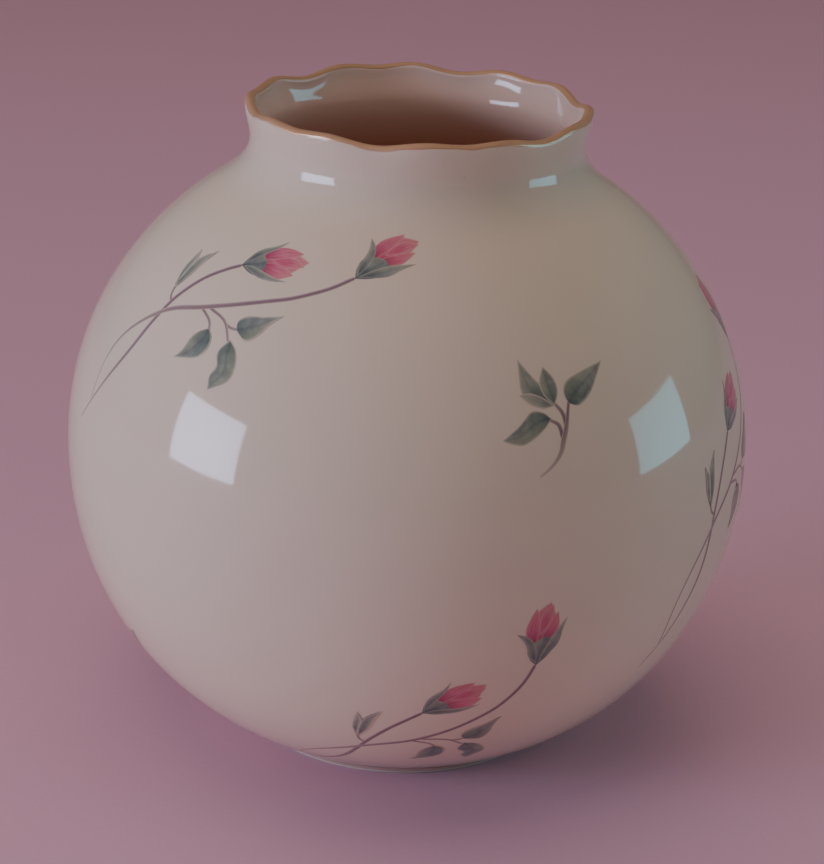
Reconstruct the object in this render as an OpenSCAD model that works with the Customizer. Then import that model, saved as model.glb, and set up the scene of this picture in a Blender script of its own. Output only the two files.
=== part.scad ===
// Globular porcelain vase with a short ruffled neck, a gilded lip and rosebud transfers.
// Millimetres. Origin at the centre of the foot, on the surface it stands on; +Z up; the front faces -Y.

/* [Globe] */
// Largest diameter of the globe, over the glaze
globe_d = 150; // [125:1:180]
// Height of the widest point above the table
equator_h = 68.2; // [56:0.2:82]
// Rise from the widest point to where the crown's curve would close on the axis
crown_rise = 70; // [60:0.5:84]
// Roundness of the lower half's curve: 2 is an ellipse, more is fuller
bowl_fullness = 2.1; // [1.9:0.05:2.5]
// Wall of the globe, glaze included
wall = 3.4; // [2.8:0.1:4.2]

/* [Neck and lip] */
// Diameter at which the crown turns up into the neck
shoulder_d = 86.6; // [82:0.2:94]
// Smallest outside diameter of the neck
neck_d = 72; // [60:0.5:80]
// Rise of the neck from the shoulder to its waist
neck_rise = 10; // [8:0.5:14]
// Rise of the lip from the neck's waist to its mean top
lip_rise = 7.8; // [6:0.2:10]
// How far the lip stands out beyond the waist
lip_flare = 1; // [0.4:0.1:2]
// Wall of the neck at its waist, glaze included
neck_wall = 2.8; // [2.4:0.1:3.6]
// Wall of the lip, glaze included
lip_wall = 2.3; // [2:0.1:2.8]

/* [Ruffle] */
// Number of lobes round the lip, each with two humps
lobes = 6; // [4:1:8]
// Height from the deepest valley to the highest hump
ruffle_rise = 1.45; // [0.6:0.05:2]
// How far a hump stands outside a valley
ruffle_swell = 0.8; // [0.2:0.05:1.2]
// Direction of the first lobe's centre, from +X towards +Y, in degrees
lobe_start = 46; // [0:1:60]

/* [Foot] */
// Outside diameter of the foot ring
foot_d = 66.8; // [56:0.2:80]
// Height of the foot ring
foot_h = 2.4; // [1.8:0.1:3]
// Width of the ring that the vase stands on
foot_w = 4; // [3:0.1:6]
// Radius along the edges of the standing ring
foot_round = 0.6; // [0.3:0.1:1]
// Thickness of the floor, from the recess under it to the inside, glaze included
floor_t = 3.8; // [3:0.1:5]
// Radius of the curve from the inner wall into the floor
floor_blend = 9; // [6:0.5:11]

/* [Glaze and gilding] */
// Thickness of the glaze
glaze_t = 0.3; // [0.2:0.05:0.4]
// Height of the bare, wiped rim of the foot
bare_h = 0.8; // [0.7:0.1:1.2]
// Thickness of the gilding
gilt_t = 0.1; // [0.08:0.01:0.15]
// Part of the lip's rounding left bare outside, below the gilding, in steps of 30 degrees
gilt_bare_out = 1; // [0:1:2]
// Part left bare inside, in steps of 30 degrees
gilt_bare_in = 1; // [0:1:2]

/* [Transfers] */
// Thickness of the printed enamel
print_t = 0.12; // [0.08:0.01:0.2]
// Width of a stem at its thickest
stem_w = 1; // [0.6:0.05:1.4]
// Width of a leaf stalk
stalk_w = 0.55; // [0.4:0.05:0.8]
// Width at which a stem's tail ends
tail_w = 0.3; // [0.2:0.05:0.5]

/* [Hidden] */
$fn = 128;
globe_r = globe_d / 2;
shoulder_r = shoulder_d / 2;
neck_r = neck_d / 2;
lip_r = neck_r + lip_flare;
foot_r = foot_d / 2;
foot_in = foot_r - foot_w;
floor_z = foot_h + floor_t;
shoulder_angle = acos(shoulder_r / globe_r);
shoulder_h = equator_h + crown_rise * sin(shoulder_angle);
waist_h = shoulder_h + neck_rise;
lip_h = waist_h + lip_rise;
lip_round = lip_wall / 2;

// The bowl starts on top of the foot ring, a little outside its wall, and its curve is as deep as
// that start makes it.
bowl_start_r = foot_r + 0.8;
bowl_exp = bowl_fullness;
bowl_drop = (equator_h - foot_h) / pow(1 - pow(bowl_start_r / globe_r, bowl_exp), 1 / bowl_exp);

bowl_steps = 22;
crown_steps = 20;
sweep_steps = 8;
lip_segments = 96;
lip_steps = 4;
round_steps = 6;
// The neck's ruffled part is a hair wider than the turned part that it stands on, all the way round.
seam = 0.03;

function ease(t) = t * t * (3 - 2 * t);
function mix(a, b, t) = a + (b - a) * t;
function bend(a, b, c, t) = mix(mix(a, b, t), mix(b, c, t), t);

// Outline of the finished outside, from the foot ring's wall up to the neck's waist, as [r, z].
foot_wall = [[foot_r, bare_h], [foot_r, foot_h - 0.3]];
bowl = [for (i = [0:bowl_steps - 1])
    let (a = acos(pow(bowl_start_r / globe_r, bowl_exp / 2)) * (1 - i / bowl_steps))
    [globe_r * pow(cos(a), 2 / bowl_exp), equator_h - bowl_drop * pow(sin(a), 2 / bowl_exp)]];
crown = [for (i = [0:crown_steps])
    let (a = shoulder_angle * i / crown_steps)
    [globe_r * cos(a), equator_h + crown_rise * sin(a)]];
shoulder_slope = crown_rise * cos(shoulder_angle) / (globe_r * sin(shoulder_angle));
shoulder_turn = [neck_r, shoulder_h + (shoulder_r - neck_r) * shoulder_slope];
sweep = [for (i = [1:sweep_steps])
    bend([shoulder_r, shoulder_h], shoulder_turn, [neck_r, waist_h], i / sweep_steps)];
outside = concat(foot_wall, bowl, crown, sweep);

// An outline moved out along its normals by d: one distance, or one for each point. Its ends are
// upright, so that what is stacked on them meets them flat.
function unit(v) = v / norm(v);
function along(p, i) = p[min(i + 1, len(p) - 1)] - p[max(i - 1, 0)];
function upright(p, i) = i > 0 && i < len(p) - 1 ? along(p, i) : [0, along(p, i)[1]];
function moved(p, d) = [for (i = [0:len(p) - 1])
    let (t = unit(upright(p, i)), far = is_list(d) ? d[i] : d)
    p[i] + far * [t[1], -t[0]]];
function reversed(p) = [for (i = [len(p) - 1:-1:0]) p[i]];

// Outline of the inside, from the middle of the floor up to the neck's waist. The wall thins from
// the globe's to the neck's over the sweep. cut is how much of the wall is taken off, such as the
// glaze.
function wall_at(i) = i < len(outside) - sweep_steps ? wall
    : mix(wall, neck_wall, (i - len(outside) + sweep_steps + 1) / sweep_steps);
function inside(cut) =
    let (thick = [for (i = [0:len(outside) - 1]) cut - wall_at(i)],
         side = [for (p = moved(outside, thick)) if (p[1] > floor_z + floor_blend / 2) p],
         low = side[0],
         slope = unit(side[0] - side[1]),
         reach = (low[1] - floor_z + cut) / -slope[1],
         corner = [low[0] + slope[0] * reach, floor_z - cut],
         start = [corner[0] - reach, floor_z - cut])
    concat([[0, floor_z - cut]], [for (i = [0:5]) bend(start, corner, low, i / 6)], side);

// Sections of the lip, from the waist outside, up over the rounded top and down to the waist inside.
// d moves the whole skin outwards.
lip_outer = [for (i = [0:lip_steps - 1])
    [mix(neck_r, lip_r, ease(i / lip_steps)), mix(waist_h, lip_h - lip_round, i / lip_steps)]];
lip_top = [for (i = [0:round_steps])
    let (a = 180 * i / round_steps)
    [lip_r - lip_round + lip_round * cos(a), lip_h - lip_round + lip_round * sin(a)]];
lip_inner = [for (i = [lip_steps - 1:-1:0])
    [mix(neck_r - neck_wall, lip_r - lip_wall, ease(i / lip_steps)),
     mix(waist_h, lip_h - lip_round, i / lip_steps)]];
function lip_skin(d) = moved(concat(lip_outer, lip_top, lip_inner), d);

// The ruffle: two humps and a shallow dent in each lobe, and a deep valley between lobes, from -2 to
// 1.125. It fades in from the waist to the lip.
wave_span = 3.125;
function wave(az) = let (a = lobes * (az - lobe_start)) cos(a) - cos(2 * a);
function ruffled(p, az) =
    let (w = ease(min(1, max(0, (p[1] - waist_h) / lip_rise))) * wave(az) / wave_span,
         r = p[0] + seam * (p[0] > neck_r - neck_wall / 2 ? 1 : -1) + ruffle_swell * w)
    [r * cos(az), r * sin(az), p[1] + ruffle_rise * w];

// A closed ring with the given section at every azimuth, ruffled.
module ruffled_ring(section) {
    n = len(section);
    points = [for (k = [0:lip_segments - 1], p = section) ruffled(p, 360 * k / lip_segments)];
    faces = [for (k = [0:lip_segments - 1], i = [0:n - 1])
        let (a = k * n, b = ((k + 1) % lip_segments) * n, j = (i + 1) % n)
        [a + i, a + j, b + j, b + i]];
    polyhedron(points, faces);
}

module turned(section) {
    rotate_extrude() polygon(section);
}

// The slip-cast body: turned up to the neck's waist, with the ruffled lip on top.
module porcelain_body() {
    clay = moved(outside, -glaze_t);
    rim = [[foot_r - glaze_t, foot_round], [foot_r - glaze_t - foot_round, 0],
           [foot_in + glaze_t + foot_round, 0], [foot_in + glaze_t, foot_round],
           [foot_in + glaze_t, foot_h + glaze_t], [0, foot_h + glaze_t]];
    color("ivory") union() {
        turned(concat(reversed(rim), [for (i = [1:len(clay) - 1]) clay[i]], reversed(inside(glaze_t))));
        ruffled_ring(lip_skin(-glaze_t));
    }
}

// The glaze over the outside, over the lip and down the inside to the floor.
module glaze_coat() {
    color("floralwhite", 0.5) union() {
        turned(concat(outside, reversed(moved(outside, -glaze_t))));
        turned(concat(inside(0), reversed(inside(glaze_t))));
        ruffled_ring(concat(lip_skin(0), reversed(lip_skin(-glaze_t))));
    }
}

// The glaze in the recess under the floor, inside the bare rim.
module base_glaze() {
    color("floralwhite", 0.5) difference() {
        translate([0, 0, bare_h]) cylinder(r = foot_in + glaze_t, h = foot_h + glaze_t - bare_h);
        translate([0, 0, bare_h - 1]) cylinder(r = foot_in, h = foot_h - bare_h + 1);
    }
}

// The gold over the lip's rounding.
module gilt_lip_band() {
    skin = [for (i = [gilt_bare_out:round_steps - gilt_bare_in]) lip_top[i]];
    color("darkgoldenrod") ruffled_ring(concat(moved(skin, gilt_t), reversed(skin)));
}

// Transfers. Each is drawn flat, as printed on its paper, and wrapped on the globe.

// Flat paper to a plane that touches the globe, so that what is projected back is true to length.
wrap_r = 0.96 * globe_r;
function wrapped(p) = let (d = norm(p)) d == 0 ? p : p * (wrap_r * sin(d / wrap_r * 180 / PI) / d);

// A pointed blade from base to tip: w wide, bowed to its left by bow, widest at the share of its
// length that belly gives.
function blade(base, tip, w, bow = 0, belly = 0.42, n = 8) =
    let (v = tip - base, side = unit([-v[1], v[0]]), power = log(0.5) / log(belly),
         mid = [for (i = [0:n]) let (t = i / n) base + v * t + side * bow * 4 * t * (1 - t)],
         half = [for (i = [0:n]) w / 2 * pow(sin(180 * pow(i / n, power)), 0.8)])
    concat([for (i = [0:n]) mid[i] + side * half[i]], [for (i = [n - 1:-1:1]) mid[i] - side * half[i]]);

// A smooth line through hand-placed points.
function spline(p, steps = 3) = [for (i = [0:len(p) - 2], k = [0:steps - 1])
    let (a = p[max(i - 1, 0)], b = p[i], c = p[i + 1], d = p[min(i + 2, len(p) - 1)], t = k / steps)
    b + (c - a) * t / 2 + (2 * a - 5 * b + 4 * c - d) * t * t / 2 + (3 * b - a - 3 * c + d) * t * t * t / 2];
function smooth(p) = concat(spline(p), [p[len(p) - 1]]);

// A line of changing width, w0 at its start, w1 in its middle and w2 at its end.
function stroke(points, w0, w1, w2) =
    let (p = smooth(points), n = len(p) - 1,
         half = [for (i = [0:n]) let (t = i / n) (t < 0.5 ? mix(w0, w1, ease(2 * t)) : mix(w1, w2, 2 * t - 1)) / 2],
         side = [for (i = [0:n]) let (t = unit(along(p, i))) [-t[1], t[0]]])
    concat([for (i = [0:n]) p[i] + side[i] * half[i]], [for (i = [n:-1:0]) p[i] - side[i] * half[i]]);

module draw(outlines) {
    for (o = outlines) polygon([for (p = o) wrapped(p)]);
}

// A rosebud's blades in its own frame: the calyx at the origin, the bud along +X.
bud_petals = [blade([1.8, 0.2], [14.7, 0.3], 6.4, 0, 0.48), blade([2.2, 1], [12.2, 2.5], 4.6, 0.7, 0.45),
              blade([2.2, -0.8], [11.2, -2.9], 4.2, -0.6, 0.45)];
bud_sepals = [blade([-0.7, 0], [4.8, 0.3], 5.2, 0, 0.45), blade([0, 0.6], [8.4, 5.9], 2.4, 1, 0.33),
              blade([0, -0.6], [10.9, -4.4], 2.6, -1.1, 0.36), blade([1, 0.2], [6.6, -0.4], 2.4, 0, 0.35)];
function set_at(outlines, at, turn) = [for (o = outlines) [for (p = o)
    [at[0] + p[0] * cos(turn) - p[1] * sin(turn), at[1] + p[0] * sin(turn) + p[1] * cos(turn)]]];

// The two-bud spray.
short_bud = [-1, 9.7];
long_bud = [23.8, 15.6];
spray_buds = [[short_bud, 18], [long_bud, 65]];
short_stem = [[-40, -30.5], [-31.5, -23.5], [-23, -14.6], [-17.6, -6], [-14.4, -1], [-9.6, 4.1], [-5, 7.4],
              short_bud];
long_stem = [[-35, -26], [-31.6, -16.5], [-26, -10], [-15.5, -4.1], [-5.5, -1.6], [2.6, 1], [10, 4.1],
             [14.6, 6.5], [20, 10.8], long_bud];
spray_stems = [
    stroke(short_stem, tail_w, stem_w, 0.8 * stem_w),
    stroke(long_stem, tail_w, stem_w, 0.8 * stem_w),
    stroke([[-5.6, -1.6], [-2, -3.9], [-0.8, -6.4]], stalk_w, stalk_w, stalk_w),
    stroke([[-3.6, -1.2], [1.8, -3.1], [4.9, -7]], stalk_w, stalk_w, stalk_w),
    stroke([[2.4, -3.6], [4.2, -4], [6.2, -3.8]], stalk_w, stalk_w, stalk_w),
    stroke([[-15, -2.4], [-16.2, -0.6], [-16.3, 1.6]], stalk_w, stalk_w, stalk_w)];
spray_leaves = [
    blade([-0.6, -5.4], [-7.6, -13.3], 5, 1, 0.4),
    blade([5, -6], [4, -17.4], 5, 1.5, 0.42),
    blade([5, -4], [14.3, 1.9], 5.2, -1.2, 0.38),
    blade([-16.2, -0.2], [-9.9, 11.1], 2.9, 1, 0.5),
    blade([-16.9, 2.4], [-15, 10.8], 2.4, 0.4, 0.5)];

// The sprig of three leaves.
sprig_stems = [
    stroke([[2.4, 2.2], [1, -2.9], [0, -5.6], [-1, -8.2], [-3.2, -10.6], [-6, -12.4]], stalk_w, 1.1 * stem_w, tail_w),
    stroke([[-1.2, 2.2], [0.6, -0.5], [0.9, -3.4]], stalk_w, 0.8 * stem_w, 0.8 * stem_w),
    stroke([[-2.6, -1.3], [-0.7, -2.6], [-0.1, -5.4]], stalk_w, 0.8 * stem_w, 0.8 * stem_w)];
sprig_leaves = [
    blade([-0.9, 1.2], [-7.1, 11.6], 6, 0.8, 0.42), blade([-0.9, 1.4], [-1.8, 9.4], 3.8, -0.5, 0.5),
    blade([-1, 1.4], [-8.3, 4.2], 3.6, -0.4, 0.5),
    blade([2, 1.2], [12, 9.4], 5.4, 0, 0.4), blade([-1.7, -1.2], [-13.2, -4.4], 4.8, -0.4, 0.4)];

// Where each transfer sits: name, azimuth from the front towards +X, angle up the globe's curve from
// its widest line (down is negative), and its turn on the surface.
SPRAYS = [["front_left", -39.4, 37.8, 0], ["front_low", 7.7, -36.1, 13.8], ["right", 70.4, 4.7, 21.8],
          ["back_right", 146, 33, -4], ["back_low", 186, -34, 16], ["back_left", 244, 8, 20]];
SPRIGS = [["front", 26, 24.1, 0], ["left_low", 292, -36, 6], ["back", 202, 31, 24], ["right_low", 118, -30, -20]];

// Puts a flat drawing on the globe, print_t thick.
module transfer(place) {
    up = place[2] >= 0;
    k = up ? 2 : bowl_exp;
    a = abs(place[2]);
    rise = up ? crown_rise : -bowl_drop;
    r = globe_r * pow(cos(a), 2 / k);
    z = equator_h + rise * pow(sin(a), 2 / k);
    tilt = atan2(pow(sin(a), 2 - 2 / k) / rise, pow(cos(a), 2 - 2 / k) / globe_r);
    print = moved(outside, print_t);
    deep = wrap_r / 3;
    intersection() {
        turned(concat(outside, reversed(print)));
        rotate([0, 0, place[1]]) translate([0, -r, z]) rotate([90 - tilt, 0, 0]) rotate([0, 0, place[3]])
            translate([0, 0, -deep]) linear_extrude(deep + 4) children();
    }
}

module spray_greens() {
    draw(spray_leaves);
    for (b = spray_buds) draw(set_at(bud_sepals, b[0], b[1]));
}

module spray_pinks() {
    difference() {
        union() for (b = spray_buds) draw(set_at(bud_petals, b[0], b[1]));
        spray_greens();
    }
}

module spray_browns() {
    difference() {
        draw(spray_stems);
        spray_greens();
    }
}

module sprig_browns() {
    difference() {
        draw(sprig_stems);
        draw(sprig_leaves);
    }
}

porcelain_body();
glaze_coat();
base_glaze();
gilt_lip_band();
for (s = SPRAYS) {
    color("rosybrown") transfer(s) spray_browns();
    color("darkseagreen") transfer(s) spray_greens();
    color("palevioletred") transfer(s) spray_pinks();
}
for (s = SPRIGS) {
    color("rosybrown") transfer(s) sprig_browns();
    color("darkseagreen") transfer(s) draw(sprig_leaves);
}
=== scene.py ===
# A globular porcelain vase with an ivory glaze, a ruffled gilt lip and rosebud transfers.
# The scene is in metres; the sizes written here are in millimetres.
import math

import bpy
import numpy as np
from mathutils import Matrix, Vector


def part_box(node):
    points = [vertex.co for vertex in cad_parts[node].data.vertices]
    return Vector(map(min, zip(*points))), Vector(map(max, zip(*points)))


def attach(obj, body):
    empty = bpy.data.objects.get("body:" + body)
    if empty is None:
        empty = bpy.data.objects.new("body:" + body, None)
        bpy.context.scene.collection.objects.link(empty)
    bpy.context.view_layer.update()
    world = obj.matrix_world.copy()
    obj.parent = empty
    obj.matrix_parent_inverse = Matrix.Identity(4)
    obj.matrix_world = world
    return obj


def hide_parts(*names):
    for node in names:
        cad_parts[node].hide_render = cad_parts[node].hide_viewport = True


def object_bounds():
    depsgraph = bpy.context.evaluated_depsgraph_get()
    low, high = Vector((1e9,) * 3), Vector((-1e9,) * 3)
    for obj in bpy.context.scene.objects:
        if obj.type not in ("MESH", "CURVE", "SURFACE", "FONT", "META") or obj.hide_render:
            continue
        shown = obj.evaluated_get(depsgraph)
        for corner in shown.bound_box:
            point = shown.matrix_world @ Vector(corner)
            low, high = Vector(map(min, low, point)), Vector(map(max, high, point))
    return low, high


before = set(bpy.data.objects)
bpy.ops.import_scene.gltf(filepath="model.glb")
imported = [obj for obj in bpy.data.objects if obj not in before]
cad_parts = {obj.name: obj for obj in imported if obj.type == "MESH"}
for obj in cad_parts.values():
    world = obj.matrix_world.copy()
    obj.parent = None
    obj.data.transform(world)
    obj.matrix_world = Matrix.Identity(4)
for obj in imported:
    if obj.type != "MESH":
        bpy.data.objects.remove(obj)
cad_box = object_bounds()

MM = 0.001
BODY = "root"
DOUBLE = 0.006 * MM  # vertices nearer than this are one

# The vase's own sizes, as in its CAD model.
GLOBE_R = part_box("glaze_coat")[1].x / MM
EQUATOR_H = 68.2
CROWN_RISE = 70.0
BOWL_FULLNESS = 2.1
WALL = 3.4
SHOULDER_R = 43.3
NECK_R = 36.0
NECK_RISE = 10.0
NECK_WALL = 2.8
LIP_RISE = 7.8
LIP_FLARE = 1.0
LIP_WALL = 2.3
LOBES = 6
LOBE_START = math.radians(46)
RUFFLE_RISE = 1.45
RUFFLE_SWELL = 0.8
WAVE_SPAN = 3.125
FOOT_R = 33.4
FOOT_H = 2.4
FLOOR_Z = 6.2
FLOOR_BLEND = 9.0
GLAZE_T = 0.3
BARE_H = 0.8
FOOT_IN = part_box("base_glaze")[1].x / MM - GLAZE_T
GILT_T = 0.06
GILT_FROM = math.radians(17)  # round the lip, from level outside
GILT_TO = math.radians(152)

SHOULDER_ANGLE = math.acos(SHOULDER_R / GLOBE_R)
SHOULDER_H = EQUATOR_H + CROWN_RISE * math.sin(SHOULDER_ANGLE)
WAIST_H = SHOULDER_H + NECK_RISE
LIP_H = WAIST_H + LIP_RISE
LIP_R = NECK_R + LIP_FLARE
LIP_ROUND = LIP_WALL / 2
BOWL_START_R = FOOT_R + 0.8
BOWL_DROP = (EQUATOR_H - FOOT_H) / (1 - (BOWL_START_R / GLOBE_R) ** BOWL_FULLNESS) ** (1 / BOWL_FULLNESS)


# ---------------------------------------------------------------- lines and outlines, as (r, z) in mm
def ease(t):
    t = np.clip(t, 0, 1)
    return t * t * (3 - 2 * t)


def mix(a, b, t):
    return a + (b - a) * t


def bend(a, b, c, steps):
    """A quadratic curve from a to c, pulled towards b, without its first point."""
    a, b, c = (np.array(p, float) for p in (a, b, c))
    t = np.linspace(0, 1, steps + 1)[1:, None]
    return mix(mix(a, b, t), mix(b, c, t), t)


def moved(line, d):
    """A line moved along its normals by d, to the right of its direction; its ends stay upright."""
    along = np.gradient(line, axis=0)
    along[0, 0] = along[-1, 0] = 0
    along /= np.linalg.norm(along, axis=1)[:, None]
    d = np.broadcast_to(d, len(line))[:, None]
    return line + d * np.column_stack([along[:, 1], -along[:, 0]])


def globe_line(bowl_steps, crown_steps, sweep_steps):
    """The finished outside, from the foot up to the neck's waist."""
    first = math.acos((BOWL_START_R / GLOBE_R) ** (BOWL_FULLNESS / 2))
    a = np.linspace(first, 0, bowl_steps + 1)[:-1]
    power = 2 / BOWL_FULLNESS
    bowl = np.column_stack([GLOBE_R * np.cos(a) ** power, EQUATOR_H - BOWL_DROP * np.sin(a) ** power])
    a = np.linspace(0, SHOULDER_ANGLE, crown_steps + 1)
    crown = np.column_stack([GLOBE_R * np.cos(a), EQUATOR_H + CROWN_RISE * np.sin(a)])
    slope = CROWN_RISE * math.cos(SHOULDER_ANGLE) / (GLOBE_R * math.sin(SHOULDER_ANGLE))
    turn = (NECK_R, SHOULDER_H + (SHOULDER_R - NECK_R) * slope)
    sweep = bend((SHOULDER_R, SHOULDER_H), turn, (NECK_R, WAIST_H), sweep_steps)
    return np.vstack([[FOOT_R, FOOT_H - 0.3], bowl, crown, sweep])


def hollow_line(steps, sweep_steps, cut):
    """The inside, from the middle of the floor up to the neck's waist; cut is taken off the wall."""
    outer = globe_line(steps, steps, sweep_steps)
    thick = np.full(len(outer), WALL)
    thick[-sweep_steps:] = mix(WALL, NECK_WALL, np.arange(1, sweep_steps + 1) / sweep_steps)
    side = moved(outer, cut - thick)
    side = side[side[:, 1] > FLOOR_Z + FLOOR_BLEND / 2]
    slope = side[0] - side[1]
    slope /= np.linalg.norm(slope)
    reach = (side[0, 1] - FLOOR_Z + cut) / -slope[1]
    corner = np.array([side[0, 0] + slope[0] * reach, FLOOR_Z - cut])
    start = corner - [reach, 0]
    flat = np.column_stack([np.linspace(0, start[0], 7), np.full(7, FLOOR_Z - cut)])
    return np.vstack([flat, bend(start, corner, side[0], 12), side[1:]])


def lip_line(side_steps, top_steps, d=0.0):
    """The lip's skin, from the waist outside, over the rounded top, to the waist inside."""
    t = np.arange(side_steps) / side_steps
    height = mix(WAIST_H, LIP_H - LIP_ROUND, t)
    outer = np.column_stack([mix(NECK_R, LIP_R, ease(t)), height])
    inner = np.column_stack([mix(NECK_R - NECK_WALL, LIP_R - LIP_WALL, ease(t)), height])[::-1]
    a = np.linspace(0, math.pi, top_steps + 1)
    top = np.column_stack([LIP_R - LIP_ROUND + LIP_ROUND * np.cos(a),
                           LIP_H - LIP_ROUND + LIP_ROUND * np.sin(a)])
    return moved(np.vstack([outer, top, inner]), -d)


def ruffled(co):
    """Vertices near the lip pushed into the ruffle: six lobes, each with two humps and a shallow dent."""
    az = np.arctan2(co[:, 1], co[:, 0])
    a = LOBES * (az - LOBE_START)
    wave = np.cos(a) - np.cos(2 * a)
    # No two lobes of a hand-finished lip are quite alike.
    hand = 0.93 + 0.04 * np.sin(az + 0.7) + 0.03 * np.sin(2 * az + 2.1)
    w = ease((co[:, 2] / MM - WAIST_H) / LIP_RISE) * wave * hand / WAVE_SPAN
    r = np.hypot(co[:, 0], co[:, 1])
    stretch = 1 + np.divide(RUFFLE_SWELL * MM * w, r, out=np.zeros_like(r), where=r > MM)
    return np.column_stack([co[:, 0] * stretch, co[:, 1] * stretch, co[:, 2] + RUFFLE_RISE * MM * w])


# ---------------------------------------------------------------- modelling
def deselect_all():
    for o in list(bpy.context.selected_objects):
        o.select_set(False)


def vertices(piece):
    co = np.empty(len(piece.data.vertices) * 3)
    piece.data.vertices.foreach_get("co", co)
    return co.reshape(-1, 3)


def place(piece, co):
    piece.data.vertices.foreach_set("co", np.asarray(co, float).ravel())
    piece.data.update()


def close(piece):
    """Merges the piece's doubles and turns its faces outwards."""
    deselect_all()
    piece.select_set(True)
    bpy.context.view_layer.objects.active = piece
    bpy.ops.object.mode_set(mode="EDIT")
    bpy.ops.mesh.select_all(action="SELECT")
    bpy.ops.mesh.remove_doubles(threshold=DOUBLE)
    bpy.ops.mesh.normals_make_consistent(inside=False)
    bpy.ops.object.mode_set(mode="OBJECT")


def turned(name, section, steps):
    """A section drawn point by point and spun round the vase's axis."""
    deselect_all()
    r, z = section[0] * MM
    bpy.ops.mesh.primitive_plane_add(size=MM, location=(r, 0, z))
    bpy.ops.object.transform_apply(location=True, rotation=True, scale=True)
    piece = bpy.context.object
    piece.name = piece.data.name = name
    bpy.ops.object.mode_set(mode="EDIT")
    bpy.ops.mesh.select_all(action="SELECT")
    bpy.ops.mesh.merge(type="CENTER")
    for dr, dz in np.diff(section, axis=0) * MM:
        bpy.ops.mesh.extrude_region_move(TRANSFORM_OT_translate={"value": (dr, 0, dz)})
    bpy.ops.mesh.select_all(action="SELECT")
    bpy.ops.mesh.spin(steps=steps, angle=math.tau, center=(0, 0, 0), axis=(0, 0, 1))
    bpy.ops.object.mode_set(mode="OBJECT")
    close(piece)
    return piece


def shade(piece, angle):
    deselect_all()
    piece.select_set(True)
    bpy.context.view_layer.objects.active = piece
    bpy.ops.object.shade_smooth_by_angle(angle=math.radians(angle))


def finished(piece, material, slot, *nodes):
    piece.data.materials.clear()
    piece.data.materials.append(material)
    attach(piece, BODY)
    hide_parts(*nodes)


# ---------------------------------------------------------------- materials
def linear(colour):
    """An sRGB hex colour as a linear RGBA one."""
    parts = [int(colour[i:i + 2], 16) / 255 for i in (0, 2, 4)]
    return [p / 12.92 if p <= 0.04045 else ((p + 0.055) / 1.055) ** 2.4 for p in parts] + [1]


def new_material(name, **constants):
    """A material with its Principled shader; constants are set on the shader's own sockets."""
    material = bpy.data.materials.new(name)
    material.use_nodes = True
    shader = material.node_tree.nodes["Principled BSDF"]
    for key, value in constants.items():
        shader.inputs[key.replace("_", " ")].default_value = value
    return material, material.node_tree, shader


def add(tree, kind, inputs, **settings):
    """Adds a node with its settings; inputs are values or other nodes' sockets, by name or number."""
    made = tree.nodes.new("ShaderNode" + kind)
    for key, value in settings.items():
        setattr(made, key, value)
    for key, value in inputs.items():
        if isinstance(value, bpy.types.NodeSocket):
            tree.links.new(value, made.inputs[key])
        else:
            made.inputs[key].default_value = value
    return made


def glaze_tone_and_painted_light(tree):
    """The ivory of the body seen through the glaze. It drifts a little over the vase, as the glaze's
    thickness does. Inside it is painted rosier, as painted pink light bounced into the hollow, and
    towards the foot it is painted a darker pink-brown, partly glaze pooled there and partly painted shade."""
    place_on_vase = add(tree, "TexCoord", {}).outputs["Object"]
    drift = add(tree, "TexNoise", {"Vector": place_on_vase, "Scale": 1 / (45 * MM), "Detail": 2.0})
    ivory = add(tree, "Mix", {0: drift.outputs["Fac"], 6: linear("F3E0C6"), 7: linear("EBD7BE")},
                data_type="RGBA")
    facing = add(tree, "NewGeometry", {}).outputs["Normal"]
    outwards = add(tree, "VectorMath", {0: place_on_vase, 1: (1.0, 1.0, 0.0)},
                   operation="MULTIPLY").outputs[0]
    turned_out = add(tree, "VectorMath", {0: facing, 1: outwards}, operation="DOT_PRODUCT").outputs["Value"]
    inside = add(tree, "Math", {0: turned_out, 1: 0.0}, operation="LESS_THAN").outputs[0]
    # Painted light: inside the hollow the ivory is painted rosier, standing in for pink light bounced in from
    # around the vase.
    painted_rosy_inside = add(tree, "Mix", {0: inside, 6: ivory.outputs[2], 7: linear("FAD8C6")}, data_type="RGBA")
    height = add(tree, "SeparateXYZ", {0: place_on_vase}).outputs["Z"]
    # Towards the foot the glaze is painted a dark pink-brown: partly glaze pooled there, partly painted shade
    # with pink light from the floor.
    pooled_glaze_and_painted_shade = add(tree, "MapRange", {"Value": height, 1: 3.4 * MM, 2: 1.9 * MM, 3: 0.0, 4: 0.75})
    return add(tree, "Mix", {0: pooled_glaze_and_painted_shade.outputs[0], 6: painted_rosy_inside.outputs[2], 7: linear("A8827C")},
               data_type="RGBA").outputs[2]


def glaze_relief(tree):
    """The melted surface: long shallow waves from the flow of the glaze, and a faint orange peel."""
    place_on_vase = add(tree, "TexCoord", {}).outputs["Object"]
    flow = add(tree, "TexNoise", {"Vector": place_on_vase, "Scale": 1 / (26 * MM), "Detail": 1.0})
    peel = add(tree, "TexNoise", {"Vector": place_on_vase, "Scale": 1 / (2.2 * MM), "Detail": 1.0})
    waves = add(tree, "Bump", {"Height": flow.outputs["Fac"], "Strength": 1.0, "Distance": 0.06 * MM})
    return add(tree, "Bump", {"Height": peel.outputs["Fac"], "Strength": 1.0, "Distance": 0.0006 * MM,
                              "Normal": waves.outputs[0]}).outputs[0]


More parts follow.
